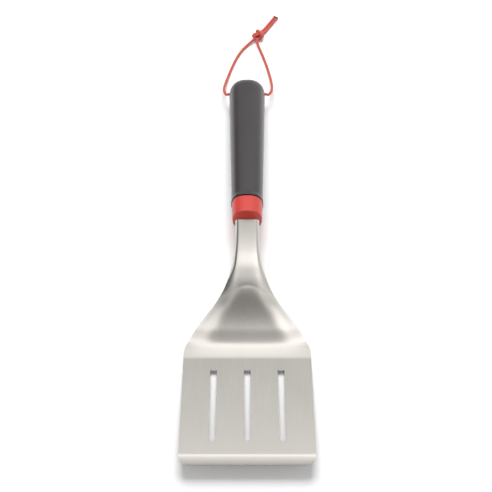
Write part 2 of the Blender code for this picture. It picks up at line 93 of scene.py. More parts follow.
class Value:
    """One socket of a shader graph, with the arithmetic that the finishes use."""

    def __init__(self, graph: "Graph", socket: bpy.types.NodeSocket) -> None:
        """Wraps a socket."""
        self.graph = graph
        self.socket = socket

    def math(self, operation: str, *others: "Value | float") -> "Value":
        """Adds one Math node."""
        values = {index: value for index, value in enumerate((self, *others))}
        return self.graph.add("ShaderNodeMath", {"operation": operation}, values)

    def __add__(self, other: "Value | float") -> "Value":
        """Sum."""
        return self.math("ADD", other)

    def __sub__(self, other: "Value | float") -> "Value":
        """Difference."""
        return self.math("SUBTRACT", other)

    def __mul__(self, other: "Value | float") -> "Value":
        """Product."""
        return self.math("MULTIPLY", other)

    def __truediv__(self, other: "Value | float") -> "Value":
        """Quotient."""
        return self.math("DIVIDE", other)

    def __rsub__(self, other: float) -> "Value":
        """Difference with the number first."""
        return self.math("MULTIPLY_ADD", -1.0, other)

    __radd__ = __add__
    __rmul__ = __mul__

    def ramp(self, low: float, high: float, start: float = 0.0, end: float = 1.0) -> "Value":
        """Maps low..high smoothly to start..end and holds it outside."""
        settings = {"interpolation_type": "SMOOTHSTEP"}
        limits = {"Value": self, "From Min": low, "From Max": high, "To Min": start, "To Max": end}
        return self.graph.add("ShaderNodeMapRange", settings, limits)


class Graph:
    """The nodes of one material or world, and the one way to add to them."""

    def __init__(self, tree: bpy.types.NodeTree) -> None:
        """Takes over an empty or a fresh node tree."""
        self.tree = tree

    def connect(self, node: bpy.types.Node, key: "str | int", value: object) -> None:
        """Links a value to a node's input, or sets it.

        Args:
            node: The node.
            key: Its input's identifier, name or number.
            value: A Value to link, or a number, colour or vector to set.
        """
        if isinstance(key, int):
            target = node.inputs[key]
        else:
            found = [s for s in node.inputs if s.identifier == key]
            target = (found or [s for s in node.inputs if s.name == key and s.enabled])[0]
        if isinstance(value, Value):
            self.tree.links.new(value.socket, target)
        else:
            target.default_value = value

    def add(self, kind: str, settings: dict, inputs: dict, output: "str | int" = 0) -> Value:
        """Adds a node.

        Args:
            kind: The node's type.
            settings: Its properties, set before its sockets. "stops" are a ramp's (place, grey) pairs.
            inputs: Values or links of its inputs.
            output: The wanted output's identifier, name or number.

        Returns:
            The wanted output.
        """
        node = self.tree.nodes.new(kind)
        for name, setting in settings.items():
            if name == "stops":
                self.set_stops(node.color_ramp, setting)
            else:
                setattr(node, name, setting)
        for key, value in inputs.items():
            self.connect(node, key, value)
        if isinstance(output, int):
            return Value(self, node.outputs[output])
        found = [s for s in node.outputs if output in (s.identifier, s.name)]
        return Value(self, found[0])

    @staticmethod
    def set_stops(ramp: bpy.types.ColorRamp, stops: Sequence[tuple[float, float]]) -> None:
        """Sets a colour ramp's grey stops."""
        while len(ramp.elements) < len(stops):
            ramp.elements.new(1.0)
        for element, (place, grey) in zip(ramp.elements, stops):
            element.position = place
            element.color = (grey, grey, grey, 1.0)

    def coordinates(self, stretch: Sequence[float] = (1, 1, 1)) -> Value:
        """Object coordinates, with a pattern packed closer along each axis by the stretch."""
        plain = self.add("ShaderNodeTexCoord", {}, {}, "Object")
        return self.add("ShaderNodeMapping", {}, {"Vector": plain, "Scale": stretch})

    def noise(self, vector: Value, scale: float, detail: float = 2.0, rough: float = 0.5) -> Value:
        """Noise from 0 to 1 about 0.5."""
        inputs = {"Vector": vector, "Scale": scale, "Detail": detail, "Roughness": rough}
        return self.add("ShaderNodeTexNoise", {}, inputs, "Fac")

    def mix(self, share: "Value | float", low: object, high: object) -> Value:
        """Mixes two colours."""
        inputs = {"Factor_Float": share, "A_Color": low, "B_Color": high}
        return self.add("ShaderNodeMix", {"data_type": "RGBA"}, inputs, "Result_Color")

    def bump(self, height: Value, depth: float, strength: float = 1.0) -> Value:
        """The normal of a bump whose height of 1 is a depth in metres."""
        return self.add("ShaderNodeBump", {}, {"Height": height, "Distance": depth, "Strength": strength})


def rgba(colour: Sequence[float]) -> tuple[float, float, float, float]:
    """A colour with full cover."""
    return (colour[0], colour[1], colour[2], 1.0)


# ---------------------------------------------------------------- finishes


class Finish:
    """What every finish shares: a name, and one Principled shader fed by its own inputs."""

    name: str

    def inputs(self, graph: Graph) -> dict:
        """The shader's inputs."""
        raise NotImplementedError

    def make(self) -> bpy.types.Material:
        """Makes the material."""
        made = bpy.data.materials.new(self.name)
        made.use_nodes = True
        made.node_tree.nodes.clear()
        graph = Graph(made.node_tree)
        shader = graph.add("ShaderNodeBsdfPrincipled", {}, self.inputs(graph), "BSDF")
        output = made.node_tree.nodes.new("ShaderNodeOutputMaterial")
        made.node_tree.links.new(shader.socket, output.inputs["Surface"])
        return made

    @staticmethod
    def shades(colour: Sequence[float], dark: float, light: float) -> list[tuple[float, ...]]:
        """A darker and a lighter shade of a colour, as shares of it."""
        return [rgba([min(1.0, c * share) for c in colour]) for share in (dark, light)]


@dataclass(frozen=True)
class BrushedSteel(Finish):
    """Stainless sheet, brushed lengthwise, with faint handling marks."""

    name: str
    colour: tuple[float, float, float] = (0.512, 0.489, 0.457)
    roughness: float = 0.24
    line_scale: float = 900.0
    line_stretch: float = 0.02
    line_depth: float = 0.004 * MM
    cloud_scale: float = 28.0

    def inputs(self, graph: Graph) -> dict:
        """The shader's inputs."""
        along = graph.coordinates((1.0, self.line_stretch, 0.35))
        lines = graph.noise(along, self.line_scale, 3.0, 0.65)
        wide_lines = graph.noise(along, self.line_scale * 0.22, 2.0, 0.5)
        clouds = graph.noise(graph.coordinates(), self.cloud_scale, 3.0, 0.55)
        specks = graph.noise(graph.coordinates(), 1400.0, 1.0, 0.5).ramp(0.62, 0.8)
        tone = (lines - 0.5) * 0.16 + (wide_lines - 0.5) * 0.10 + (clouds - 0.5) * 0.10 + 0.5
        dark, light = self.shades(self.colour, 0.88, 1.12)
        rough = (clouds - 0.5) * 0.07 + (lines - 0.5) * 0.08 + specks * 0.04 + self.roughness
        return {
            "Base Color": graph.mix(tone, dark, light),
            "Metallic": 1.0,
            "Roughness": rough,
            "Normal": graph.bump(lines * 0.7 + wide_lines * 0.3, self.line_depth, 0.6),
        }


@dataclass(frozen=True)
class SoftTouch(Finish):
    """Soft-touch rubber: near black, satin, with a very fine even grain."""

    name: str
    colour: tuple[float, float, float] = (0.025, 0.020, 0.023)
    roughness: float = 0.32
    grain_scale: float = 2600.0
    grain_depth: float = 0.02 * MM

    def inputs(self, graph: Graph) -> dict:
        """The shader's inputs."""
        place = graph.coordinates()
        grain = graph.noise(place, self.grain_scale, 2.0, 0.6)
        clouds = graph.noise(place, 45.0, 4.0, 0.6)
        rubbed = graph.noise(graph.coordinates((1.0, 0.3, 1.0)), 90.0, 3.0, 0.5).ramp(0.45, 0.75)
        dark, light = self.shades(self.colour, 0.90, 1.12)
        return {
            "Base Color": graph.mix(clouds * 0.6 + grain * 0.4, dark, light),
            "Roughness": (clouds - 0.5) * 0.08 + (grain - 0.5) * 0.10 - rubbed * 0.03 + self.roughness,
            "Normal": graph.bump(grain, self.grain_depth, 0.35),
            "Specular IOR Level": 0.65,
        }


@dataclass(frozen=True)
class MouldedPlastic(Finish):
    """Moulded plastic with a fine spark-eroded skin."""

    name: str
    colour: tuple[float, float, float]
    roughness: float
    specular: float = 0.5
    grain_scale: float = 1700.0
    grain_depth: float = 0.015 * MM

    def inputs(self, graph: Graph) -> dict:
        """The shader's inputs."""
        place = graph.coordinates()
        grain = graph.noise(place, self.grain_scale, 2.0, 0.6)
        flow = graph.noise(graph.coordinates((1.0, 0.4, 1.0)), 120.0, 3.0, 0.5)
        dark, light = self.shades(self.colour, 0.92, 1.06)
        return {
            "Base Color": graph.mix(flow * 0.7 + grain * 0.3, dark, light),
            "Roughness": (flow - 0.5) * 0.08 + (grain - 0.5) * 0.12 + self.roughness,
            "Normal": graph.bump(grain, self.grain_depth, 0.3),
            "Specular IOR Level": self.specular,
        }


@dataclass(frozen=True)
class BraidedYarn(Finish):
    """Yarn of a braided cord, with painted shade that darkens the hollows between strands, and random tone
    in its fibres and patches.
    """

    name: str
    crown: tuple[float, float, float] = (0.66, 0.120, 0.090)
    # The hollow colour is painted shade, put in the gaps between strands where shade falls.
    hollow: tuple[float, float, float] = (0.20, 0.012, 0.010)
    roughness: float = 0.78
    fibre_scale: float = 5200.0

    def inputs(self, graph: Graph) -> dict:
        """The shader's inputs."""
        crown = graph.add("ShaderNodeAttribute", {"attribute_name": "strand"}, {}, "Fac")
        fibres = graph.noise(graph.coordinates(), self.fibre_scale, 2.0, 0.6)
        patches = graph.noise(graph.coordinates(), 160.0, 2.0, 0.5)
        # Painted shade: the crown's height darkens the yarn towards the hollows between strands. Fibres and
        # patches add random tone.
        tone = crown.ramp(0.15, 0.95) * 0.85 + (fibres - 0.5) * 0.5 + (patches - 0.5) * 0.25
        return {
            "Base Color": graph.mix(tone.ramp(0.0, 0.95), rgba(self.hollow), rgba(self.crown)),
            "Roughness": (fibres - 0.5) * 0.15 + self.roughness,
            "Normal": graph.bump(fibres, 0.05 * MM, 0.5),
            "Sheen Weight": 0.25,
            "Sheen Roughness": 0.5,
            "Specular IOR Level": 0.3,
        }


@dataclass(frozen=True)
class MeltedYarn(Finish):
    """The sealed end of a cord: yarn melted to a dark hard bead."""

    name: str
    colour: tuple[float, float, float] = (0.075, 0.018, 0.018)
    roughness: float = 0.34

    def inputs(self, graph: Graph) -> dict:
        """The shader's inputs."""
        lumps = graph.noise(graph.coordinates(), 1300.0, 3.0, 0.6)
        burnt = graph.noise(graph.coordinates(), 700.0, 2.0, 0.5).ramp(0.4, 0.7)
        dark = rgba([c * 0.45 for c in self.colour])
        return {
            "Base Color": graph.mix(burnt, rgba(self.colour), dark),
            "Roughness": (lumps - 0.5) * 0.3 + self.roughness,
            "Normal": graph.bump(lumps, 0.12 * MM, 0.6),
        }


@dataclass(frozen=True)
class PaleFloor(Finish):
    """Matt white studio floor, with a light of its own far from the object so that it stays white."""

    name: str = "pale_floor"
    colour: tuple[float, float, float] = (0.93, 0.93, 0.93)
    glow: float = 0.01
    far_glow: float = 0.42
    near: float = 0.5
    far: float = 2.6

    def inputs(self, graph: Graph) -> dict:
        """The shader's inputs."""
        fleck = graph.noise(graph.coordinates(), 60.0, 2.0, 0.5)
        dark = rgba([c * 0.995 for c in self.colour])
        place = graph.coordinates()
        away = graph.add("ShaderNodeVectorMath", {"operation": "LENGTH"}, {0: place}, "Value")
        return {
            "Base Color": graph.mix(fleck, dark, rgba(self.colour)),
            "Roughness": 0.9,
            "Specular IOR Level": 0.1,
            "Emission Color": away.ramp(self.near, self.far, self.glow, self.far_glow),
            "Emission Strength": 1.0,
        }


# ---------------------------------------------------------------- mesh tools


def smoothstep(low: float, high: float, value: float) -> float:
    """0 below low, 1 above high, and a smooth rise between."""
    t = min(1.0, max(0.0, (value - low) / (high - low)))
    return t * t * (3 - 2 * t)


def put(name: str, bm: bmesh.types.BMesh) -> bpy.types.Object:
    """Puts a bmesh in the scene as an object at the origin, and frees it."""
    mesh = bpy.data.meshes.new(name)
    bm.to_mesh(mesh)
    bm.free()
    made = bpy.data.objects.new(name, mesh)
    bpy.context.scene.collection.objects.link(made)
    return made


def show(name: str, bm: bmesh.types.BMesh, finish: bpy.types.Material) -> bpy.types.Object:
    """Puts a bmesh in the scene as one smooth-shaded object."""
    made = put(name, bm)
    made.data.shade_smooth()
    made.data.materials.append(finish)
    return made


def freeze(piece: bpy.types.Object) -> None:
    """Replaces a piece's mesh by what its modifiers make of it, and removes them and their cutters."""
    cutters = [m.object for m in piece.modifiers if m.type == "BOOLEAN"]
    bpy.context.view_layer.update()
    evaluated = piece.evaluated_get(bpy.context.evaluated_depsgraph_get())
    final = bpy.data.meshes.new_from_object(evaluated)
    final.name = piece.name
    piece.modifiers.clear()
    piece.data = final
    for cutter in cutters:
        bpy.data.objects.remove(cutter, do_unlink=True)


def cut(piece: bpy.types.Object, name: str, bm: bmesh.types.BMesh) -> None:
    """Adds a Boolean that takes a closed mesh out of a piece.

    Args:
        piece: The piece.
        name: The cutter's name.
        bm: The cutter's mesh, which is freed.
    """
    bmesh.ops.recalc_face_normals(bm, faces=bm.faces)
    cutter = put(name, bm)
    cutter.hide_render = True
    modifier = piece.modifiers.new(name, "BOOLEAN")
    modifier.operation = "DIFFERENCE"
    modifier.solver = "EXACT"
    modifier.object = cutter


def round_edges(piece: bpy.types.Object, width: float, segments: int, angle: float) -> None:
    """Adds a Bevel that rounds every edge sharper than an angle.

    Args:
        piece: The piece.
        width: The width of the rounding.
        segments: Its faces.
        angle: The angle, in radians.
    """
    modifier = piece.modifiers.new("rounded_edges", "BEVEL")
    modifier.width = width
    modifier.segments = segments
    modifier.limit_method = "ANGLE"
    modifier.angle_limit = angle
    modifier.harden_normals = True


def rod(radius: float, length: float, turn: "Matrix | None" = None, segments: int = 48) -> bmesh.types.BMesh:
    """A closed cylinder about the origin."""
    bm = bmesh.new()
    bmesh.ops.create_cone(
        bm, cap_ends=True, segments=segments, radius1=radius, radius2=radius, depth=length
    )
    if turn is not None:
        bmesh.ops.rotate(bm, matrix=turn, verts=bm.verts)
    return bm


# ---------------------------------------------------------------- steel head


@dataclass(frozen=True)
class Curve:
    """A smooth curve through (place, value) points, level beyond its ends."""

    points: tuple[tuple[float, float], ...]

    def slope(self, k: int) -> float:
        """Slope of the curve at a point."""
        low, high = self.points[max(k - 1, 0)], self.points[min(k + 1, len(self.points) - 1)]
        return (high[1] - low[1]) / (high[0] - low[0])

    def at(self, place: float) -> float:
        """Value at a place.

        Args:
            place: The place.

        Returns:
            The value, by Hermite stretches.
        """
        if place <= self.points[0][0]:
            return self.points[0][1]
        if place >= self.points[-1][0]:
            return self.points[-1][1]
        i = max(k for k in range(len(self.points) - 1) if self.points[k][0] <= place)
        (x0, h0), (x1, h1) = self.points[i], self.points[i + 1]
        step = x1 - x0
        t = (place - x0) / step
        return (
            (2 * t**3 - 3 * t**2 + 1) * h0
            + (t**3 - 2 * t**2 + t) * step * self.slope(i)
            + (3 * t**2 - 2 * t**3) * h1
            + (t**3 - t**2) * step * self.slope(i + 1)
        )


@dataclass
class Head:
    """The stamped head: blade with slots and turned lip, shoulder with its boss, flanged neck and tang.

    Places along the sheet are distances from the start of the heel bend. The curves are in millimetres
    and degrees.
    """

    sheet: float = 1.5 * MM
    blade_half_width: float = 49.0 * MM
    blade_length: float = 85.5 * MM
    lip_length: float = 7.5 * MM
    corner_radius: float = 6.0 * MM
    blade_angle: float = math.radians(-7.5)
    neck_angle: float = math.radians(-2.8)
    line_step: float = 0.25 * MM
    shoulder_lag: float = 4.5 * MM
    lag_half_width: float = 46.0 * MM
    lag_growth: float = 20.0 * MM
    heel_end: float = 40.0 * MM
    face_distance: float = 124.2 * MM
    tang_start: float = 3.0 * MM
    tang_draw: float = 4.0 * MM
    tang_length: float = 88.0 * MM
    tang_half_width: float = 6.5 * MM
    flange_start: float = 56.0 * MM
    flange_full: float = 90.0 * MM
    flange_angle: float = math.radians(78)
    flange_radius: float = 2.5 * MM
    flange_length: float = 2.4 * MM
    flange_least: float = 0.25
    boss_flank: float = 12.0 * MM
    boss_power: float = 2.5
    boss_fillet: float = 1.5 * MM
    arch_start: float = 20.0 * MM
    arch_full: float = 68.0 * MM
    arch_power: float = 3.0
    groove_at: float = 61.5 * MM
    groove_depth: float = 0.13 * MM
    groove_length: float = 1.8 * MM
    groove_half_width: float = 9.5 * MM
    groove_curve: float = 35.0
    slot_pitch: float = 25.6 * MM
    slot_width: float = 5.2 * MM
    slot_length: float = 64.0 * MM
    slot_setback: float = 10.3 * MM
    pin_places: tuple[float, float] = (34.0 * MM, 76.0 * MM)
    pin_radius: float = 2.0 * MM
    axis_under_neck: float = 0.2 * MM
    handle_end: float = 166.8 * MM
    hole_length: float = 12.0 * MM
    hole_sides: int = 32
    edge_round: float = 0.28 * MM
    edge_segments: int = 3
    sharp: float = math.radians(40)
    arc_columns: int = 6
    flange_columns: int = 2
    lip_slopes: Curve = Curve(((0, -7.5), (0.9, 3.0), (1.9, 7.6), (3.4, 9.0), (7.5, 12.0)))
    slopes: Curve = Curve((
        (0, -7.5), (2.1, -3.4), (5.8, -1.4), (9.4, 0.0), (12.2, 4.0), (14.2, 10.5), (16.0, 14.0),
        (18.0, 15.8), (20.4, 17.0), (23.0, 17.3), (27.2, 15.3), (30.5, 16.4), (34, 18.4), (42, 24.2),
        (49.5, 29.0),
        (54.5, 25.0), (58.2, 20.6), (60.2, 18.9), (63.6, 17.6), (66.2, 16.6), (69.5, 15.6), (76, 14.2),
        (82, 9.5), (87, 4.5), (91.5, 1.2), (96, 0.2), (101, -0.8), (110, -1.8), (118, -2.6), (122, -2.8),
    ))
    outline: Curve = Curve((
        (0, 49.0), (8, 48.8), (12.5, 47.7), (18.5, 44.8), (25, 41.3), (32, 36.6), (40, 30.6),
        (48, 24.4), (57, 19.2), (68, 15.0), (80, 12.2), (95, 10.6), (115, 9.9), (127, 9.9),
    ))
    drops: Curve = Curve((
        (11, 0.0), (15, 0.1), (19, 0.4), (24, 0.85), (29, 1.3), (36, 1.95), (46, 3.0), (56, 3.8), (62, 3.7),
        (70, 3.1), (80, 2.2), (95, 1.2), (110, 0.6), (124, 0.2), (130, 0.0),
    ))
    strips: Curve = Curve((
        (8, 16), (16, 12), (24, 9.5), (33, 7.5), (40, 6.0), (46, 5.2), (52, 5.2), (57, 7.0), (66, 8.5),
    ))
    line: list[tuple[float, float, float]] = field(default_factory=list)
    rows: list[float] = field(default_factory=list)
    columns: list[float] = field(default_factory=list)
    handle_origin: Vector = field(default_factory=Vector)

    def __post_init__(self) -> None:
        """Lays out the side view, the rows and the columns, and places them over the origin."""
        self.line = self.side_line(self.front)[:0:-1] + self.side_line(self.back)
        self.rows = self.row_places()
        self.columns = self.column_shares()
        self.place()

    @property
    def front(self) -> float:
        """Place of the front edge."""
        return -self.blade_length - self.lip_length

    @property
    def back(self) -> float:
        """Place of the tang's end."""
        return self.face_distance + self.tang_start + self.tang_draw + self.tang_length

    def slope_at(self, at: float) -> float:
        """Slope of the sheet at a place along it, in radians."""
        if at >= 0:
            return math.radians(self.slopes.at(at / MM))
        return math.radians(self.lip_slopes.at((-self.blade_length - at) / MM))

    def side_line(self, end: float) -> list[tuple[float, float, float]]:
        """The side view from the start of the heel bend to an end.

        Args:
            end: The place where it ends.

        Returns:
            Finely spaced (place, y, z) points.
        """
        steps = round(abs(end) / self.line_step)
        step = end / steps
        line = [(0.0, 0.0, 0.0)]
        for i in range(steps):
            _, y, z = line[-1]
            angle = self.slope_at(step * (i + 0.5))
            line.append((step * (i + 1), y + step * math.cos(angle), z + step * math.sin(angle)))
        return line

    def on_line(self, at: float) -> tuple[float, float]:
        """The side view's y and z at a place along the sheet."""
        k = min(len(self.line) - 1, max(1, bisect.bisect_left(self.line, (at, -math.inf, -math.inf))))
        (at0, y0, z0), (at1, y1, z1) = self.line[k - 1], self.line[k]
        share = (at - at0) / (at1 - at0)
        return y0 + (y1 - y0) * share, z0 + (z1 - z0) * share

    def row_places(self) -> list[float]:
        """Places of the mesh's rows, closest where the sheet is most shaped."""
        steps = 10
        turns = [math.pi / 2 * i / steps for i in range(steps + 1)]
        places = [self.front + self.corner_radius * (1 - math.cos(turn)) for turn in turns]
        neck_end = self.face_distance + self.tang_start
        stretches = (
            (-self.blade_length, 6), (-self.slot_setback - self.slot_length, 8), (-self.slot_setback, 40),
            (0.0, 8), (20 * MM, 34), (80 * MM, 84), (112 * MM, 24), (neck_end, 10),
            (neck_end + self.tang_draw, 5), (self.back, 14),
        )
        for end, count in stretches:
            start = places[-1]
            places += [start + (end - start) * (i + 1) / count for i in range(count)]
        return places

    def column_shares(self) -> list[float]:
        """Places of the columns over the flat half of the blade, as shares of it, slot edges among them."""
        half_slot = self.slot_width / 2
        marks = (
            (0.0, 0), (half_slot, 2), (self.slot_pitch - half_slot, 17),
            (self.slot_pitch + half_slot, 4), (self.blade_flat, 14),
        )
        shares = [0.0]
        for (low, _), (high, steps) in zip(marks, marks[1:]):
            shares += [(low + (high - low) * (i + 1) / steps) / self.blade_flat for i in range(steps)]
        return shares

    @property
    def blade_flat(self) -> float:
        """Half width of the blade inside the columns that become the neck's edges."""
        edge = self.flange_radius * self.flange_angle + self.flange_length
        return self.blade_half_width - self.flange_least * edge

    def lagged_rise(self, x: float, at: float) -> float:
        """How far a point lies under the middle of the sheet, as the shoulder rises later at its sides.

        Args:
            x: Its place sideways.
            at: Its place along the sheet.

        Returns:
            The rise, which is negative or 0.
        """
        if at <= 0:
            return 0.0
        sideways = min(1.0, abs(x) / self.lag_half_width)
        lag = self.shoulder_lag * sideways**4 * smoothstep(0.0, self.lag_growth, at)
        late_y, late_z = self.on_line(at - lag)
        y, z = self.on_line(at)
        return late_z - z - (late_y - y) * math.tan(self.blade_angle)

    def place(self) -> None:
        """Moves the side view so that the head rests on the table and the spatula is over the origin."""
        heel = [point for point in self.line if 0 <= point[0] < self.heel_end]
        depth = min(
            z + self.lagged_rise(x, at) - self.side_drop(x, at)
            for at, _, z in heel
            for x in (0.0, self.half_width(at))
        )
        face_y, face_z = self.on_line(self.face_distance)
        tip_y = face_y + self.handle_end * math.cos(self.neck_angle)
        front_y = self.line[0][1] - self.sheet / 2 * math.sin(self.slope_at(self.front))
        middle = (front_y + tip_y) / 2
        lift = self.sheet / 2 - depth
        self.line = [(at, y - middle, z + lift) for at, y, z in self.line]
        self.handle_origin = Vector((0.0, face_y - middle, face_z + lift - self.axis_under_neck))

    def tang_share(self, at: float) -> float:
        """How far the sheet is drawn in to the tang at a place along it, from 0 to 1."""
        start = self.face_distance + self.tang_start
        return smoothstep(start, start + self.tang_draw, at)

    def half_width(self, at: float) -> float:
        """Half width of the sheet with its front corners rounded off and the tang drawn in."""
        wide = self.outline.at(at / MM) * MM
        inward = self.corner_radius - min(self.corner_radius, at - self.front)
        corner = self.corner_radius - math.sqrt(self.corner_radius**2 - inward**2)
        return wide + (self.tang_half_width - wide) * self.tang_share(at) - corner

    def side_drop(self, x: float, at: float) -> float:
        """How far the sheet lies under its middle: off the boss's flanks, then over the neck's arch.

        Args:
            x: Place sideways.
            at: Place along the sheet.

        Returns:
            The drop.
        """
        depth = self.drops.at(at / MM) * MM
        if depth <= 0:
            return 0.0
        wide = self.half_width(at)
        inset = (wide - self.strips.at(at / MM) * MM - abs(x)) / self.boss_fillet
        inset = self.boss_fillet * (inset if inset > 30 else math.log(1 + math.exp(inset)))
        flank = (1 - min(1.0, inset / self.boss_flank)) ** self.boss_power
        arch = min(1.0, abs(x) / wide) ** self.arch_power
        return depth * (flank + (arch - flank) * smoothstep(self.arch_start, self.arch_full, at))

    def groove(self, x: float, at: float) -> float:
        """Depth of the faint pressed line round the top of the boss."""
        off = (at - self.groove_at + self.groove_curve * x * x) / self.groove_length
        return self.groove_depth * math.exp(-(off**2) - (x / self.groove_half_width) ** 2)

    def edge_bend(self, turned: float, share: float) -> tuple[float, float]:
        """Reach of a share of the edge bend."""
        length = self.flange_radius * self.flange_angle * max(self.flange_least, turned / self.flange_angle)
        if turned < 1e-4:
            return length * share, 0.0
        radius = length / turned
        return radius * math.sin(turned * share), radius * (1 - math.cos(turned * share))

    def across(self, column: int, wide: float, turned: float) -> tuple[float, float]:
        """Place of a point across the flat, round the edge bend and down the flange.

        Args:
            column: The column, counted from the middle.
            wide: The half width at this row.
            turned: How far the flange is turned down.

        Returns:
            Its place sideways and its drop.
        """
        side = -1 if column < 0 else 1
        step = abs(column)
        last_flat = len(self.columns) - 1
        flange = self.flange_length * max(self.flange_least, turned / self.flange_angle)
        reach = self.edge_bend(turned, 1.0)[0] + flange * math.cos(turned)
        flat = wide - reach - self.sheet / 2 * math.sin(turned)
        if step <= last_flat:
            return side * flat * self.columns[step], 0.0
        out, drop = self.edge_bend(turned, min(1.0, (step - last_flat) / self.arc_columns))
        beyond = max(0, step - last_flat - self.arc_columns) / self.flange_columns
        out += beyond * flange * math.cos(turned)
        drop += beyond * flange * math.sin(turned)
        return side * (flat + out), drop

    def sheet_mesh(self) -> bmesh.types.BMesh:
        """The stamping's middle surface, with the slots open."""
        half_count = len(self.columns) - 1 + self.arc_columns + self.flange_columns
        bm = bmesh.new()
        row_count = len(self.rows) - 1
        bmesh.ops.create_grid(bm, x_segments=2 * half_count, y_segments=row_count, size=1.0)
        slotted = self.slot_faces(bm, half_count, row_count)
        bmesh.ops.delete(bm, geom=slotted, context="FACES")
        for vert in bm.verts:
            column = round(vert.co.x * half_count)
            at = self.rows[round((vert.co.y + 1) / 2 * row_count)]
            turned = self.flange_angle * smoothstep(self.flange_start, self.flange_full, at)
            x, drop = self.across(column, self.half_width(at), turned * (1 - self.tang_share(at)))
            rise = -drop - self.side_drop(x, at) - self.groove(x, at)
            y, z = self.on_line(at)
            angle = self.slope_at(at)
            z += self.lagged_rise(x, at)
            vert.co = (x, y - rise * math.sin(angle), z + rise * math.cos(angle))
        return bm

    def slot_faces(self, bm: bmesh.types.BMesh, half_count: int, row_count: int) -> list[bmesh.types.BMFace]:
        """The faces of the flat grid that lie in a slot.

        Args:
            bm: The grid, from -1 to 1 both ways.
            half_count: Its columns on each side.
            row_count: Its rows.

        Returns:
            The faces.
        """
        found = []
        for face in bm.faces:
            centre = face.calc_center_median()
            column = abs(centre.x) * half_count
            row = (centre.y + 1) / 2 * row_count
            low = int(row)
            at = (self.rows[low] + self.rows[low + 1]) / 2
            step = int(column)
            if step >= len(self.columns) - 1:
                continue
            x = (self.columns[step] + self.columns[step + 1]) / 2 * self.blade_flat
            in_length = -self.slot_setback - self.slot_length < at < -self.slot_setback
            if in_length and min(x, abs(x - self.slot_pitch)) < self.slot_width / 2:
                found.append(face)
        return found

    def build(self, finish: bpy.types.Material) -> bpy.types.Object:
        """Makes the head.

        Args:
            finish: Its material.

        Returns:
            The head.
        """
        bm = self.sheet_mesh()
        bmesh.ops.recalc_face_normals(bm, faces=bm.faces)
        head = show("steel_head", bm, finish)
        wall = head.modifiers.new("sheet", "SOLIDIFY")
        wall.thickness = self.sheet
        wall.offset = 0.0
        tilt = Matrix.Rotation(self.neck_angle, 3, "X")
        for number, place in enumerate(self.pin_places):
            hole = rod(self.pin_radius + GAP, self.hole_length, tilt, self.hole_sides)
            centre = self.handle_origin + tilt @ Vector((0, place, 0))
            bmesh.ops.translate(hole, vec=centre, verts=hole.verts)
            cut(head, f"tang_hole_{number}", hole)
        round_edges(head, self.edge_round, self.edge_segments, self.sharp)
        freeze(head)
        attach(head, Body.SPATULA.value)
        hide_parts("head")
        return head


# ---------------------------------------------------------------- handle


@dataclass
class HandleForm:
    """The handle's outside, measured along its axis from the collar's front face."""

    origin: Vector
    angle: float
    sleeve_start: float = 17.5 * MM
    mouth_half_width: float = 13.45 * MM
    waist_half_width: float = 13.05 * MM
    waist_at: float = 22.0 * MM
    widest_half_width: float = 16.3 * MM
    widest_at: float = 150.0 * MM
    dome_start: float = 152.0 * MM
    end: float = 166.8 * MM
    dome_power: float = 2.25
    section_power: float = 2.4
    around: int = 96
    height_share: float = 1.0

    def __post_init__(self) -> None:
        """Sets the section's height so that the end of the handle rests on the table."""
        low = (self.origin.z + self.dome_start * math.sin(self.angle)) / math.cos(self.angle)
        self.height_share = low / self.widest_half_width

    def place(self, bm: bmesh.types.BMesh) -> None:
        """Moves a mesh from the handle's own frame to the model's."""
        bmesh.ops.rotate(bm, matrix=Matrix.Rotation(self.angle, 3, "X"), verts=bm.verts)
        bmesh.ops.translate(bm, vec=self.origin, verts=bm.verts)

    def half_width(self, at: float) -> float:
        """Half width of the handle at a distance from the collar's front face."""
        taper = (at - self.waist_at) / (self.widest_at - self.waist_at)
        grown = (self.widest_half_width - self.waist_half_width) * min(1.0, max(0.0, taper))
        flare = self.mouth_half_width - self.waist_half_width
        flared = flare * (1 - smoothstep(self.sleeve_start + 1 * MM, self.waist_at, at))
        return self.waist_half_width + grown + flared

    def ring_place(self, turn: float, half_x: float, half_z: float) -> tuple[float, float]:
        """A point of the rounded-square section."""
        c, s = math.cos(turn), math.sin(turn)
        x = half_x * math.copysign(abs(c) ** (2 / self.section_power), c)
        z = half_z * math.copysign(abs(s) ** (2 / self.section_power), s)
        return x, z

    def loft(
        self, stations: Sequence[tuple[float, float, float]], pole: "float | None" = None, front: bool = True
    ) -> bmesh.types.BMesh:
        """A skin through sections across the handle's axis.

        Args:
            stations: (distance, half width, half height) of each section.
            pole: Where a domed end closes. Without it the end is flat.
            front: Whether the front is closed.

        Returns:
            The skin, in the handle's own frame.
        """
        bm = bmesh.new()
        ring = bmesh.ops.create_circle(bm, segments=self.around, radius=1.0)["verts"]
        turns = {vert: math.atan2(vert.co.y, vert.co.x) for vert in ring}
        edges = list(bm.edges)
        first_edges = edges
        for number, (at, half_x, half_z) in enumerate(stations):
            if number:
                old = list(turns)
                made = bmesh.ops.extrude_edge_only(bm, edges=edges)["geom"]
                edges = [e for e in made if isinstance(e, bmesh.types.BMEdge) and e.is_boundary]
                edges = [e for e in edges if not any(v in turns for v in e.verts)]
                new = {v for e in edges for v in e.verts}
                turns = {
                    vert: next(turns[o] for o in (e.other_vert(vert) for e in vert.link_edges) if o in old)
                    for vert in new
                }
            for vert, turn in turns.items():
                x, z = self.ring_place(turn, half_x, half_z)
                vert.co = (x, at, z)
        if front:
            bmesh.ops.contextual_create(bm, geom=first_edges)
        if pole is None:
            bmesh.ops.contextual_create(bm, geom=edges)
        else:
            cap = bmesh.ops.contextual_create(bm, geom=edges)["faces"]
            bmesh.ops.poke(bm, faces=cap)["verts"][0].co = (0, pole, 0)
        bmesh.ops.recalc_face_normals(bm, faces=bm.faces)
        return bm


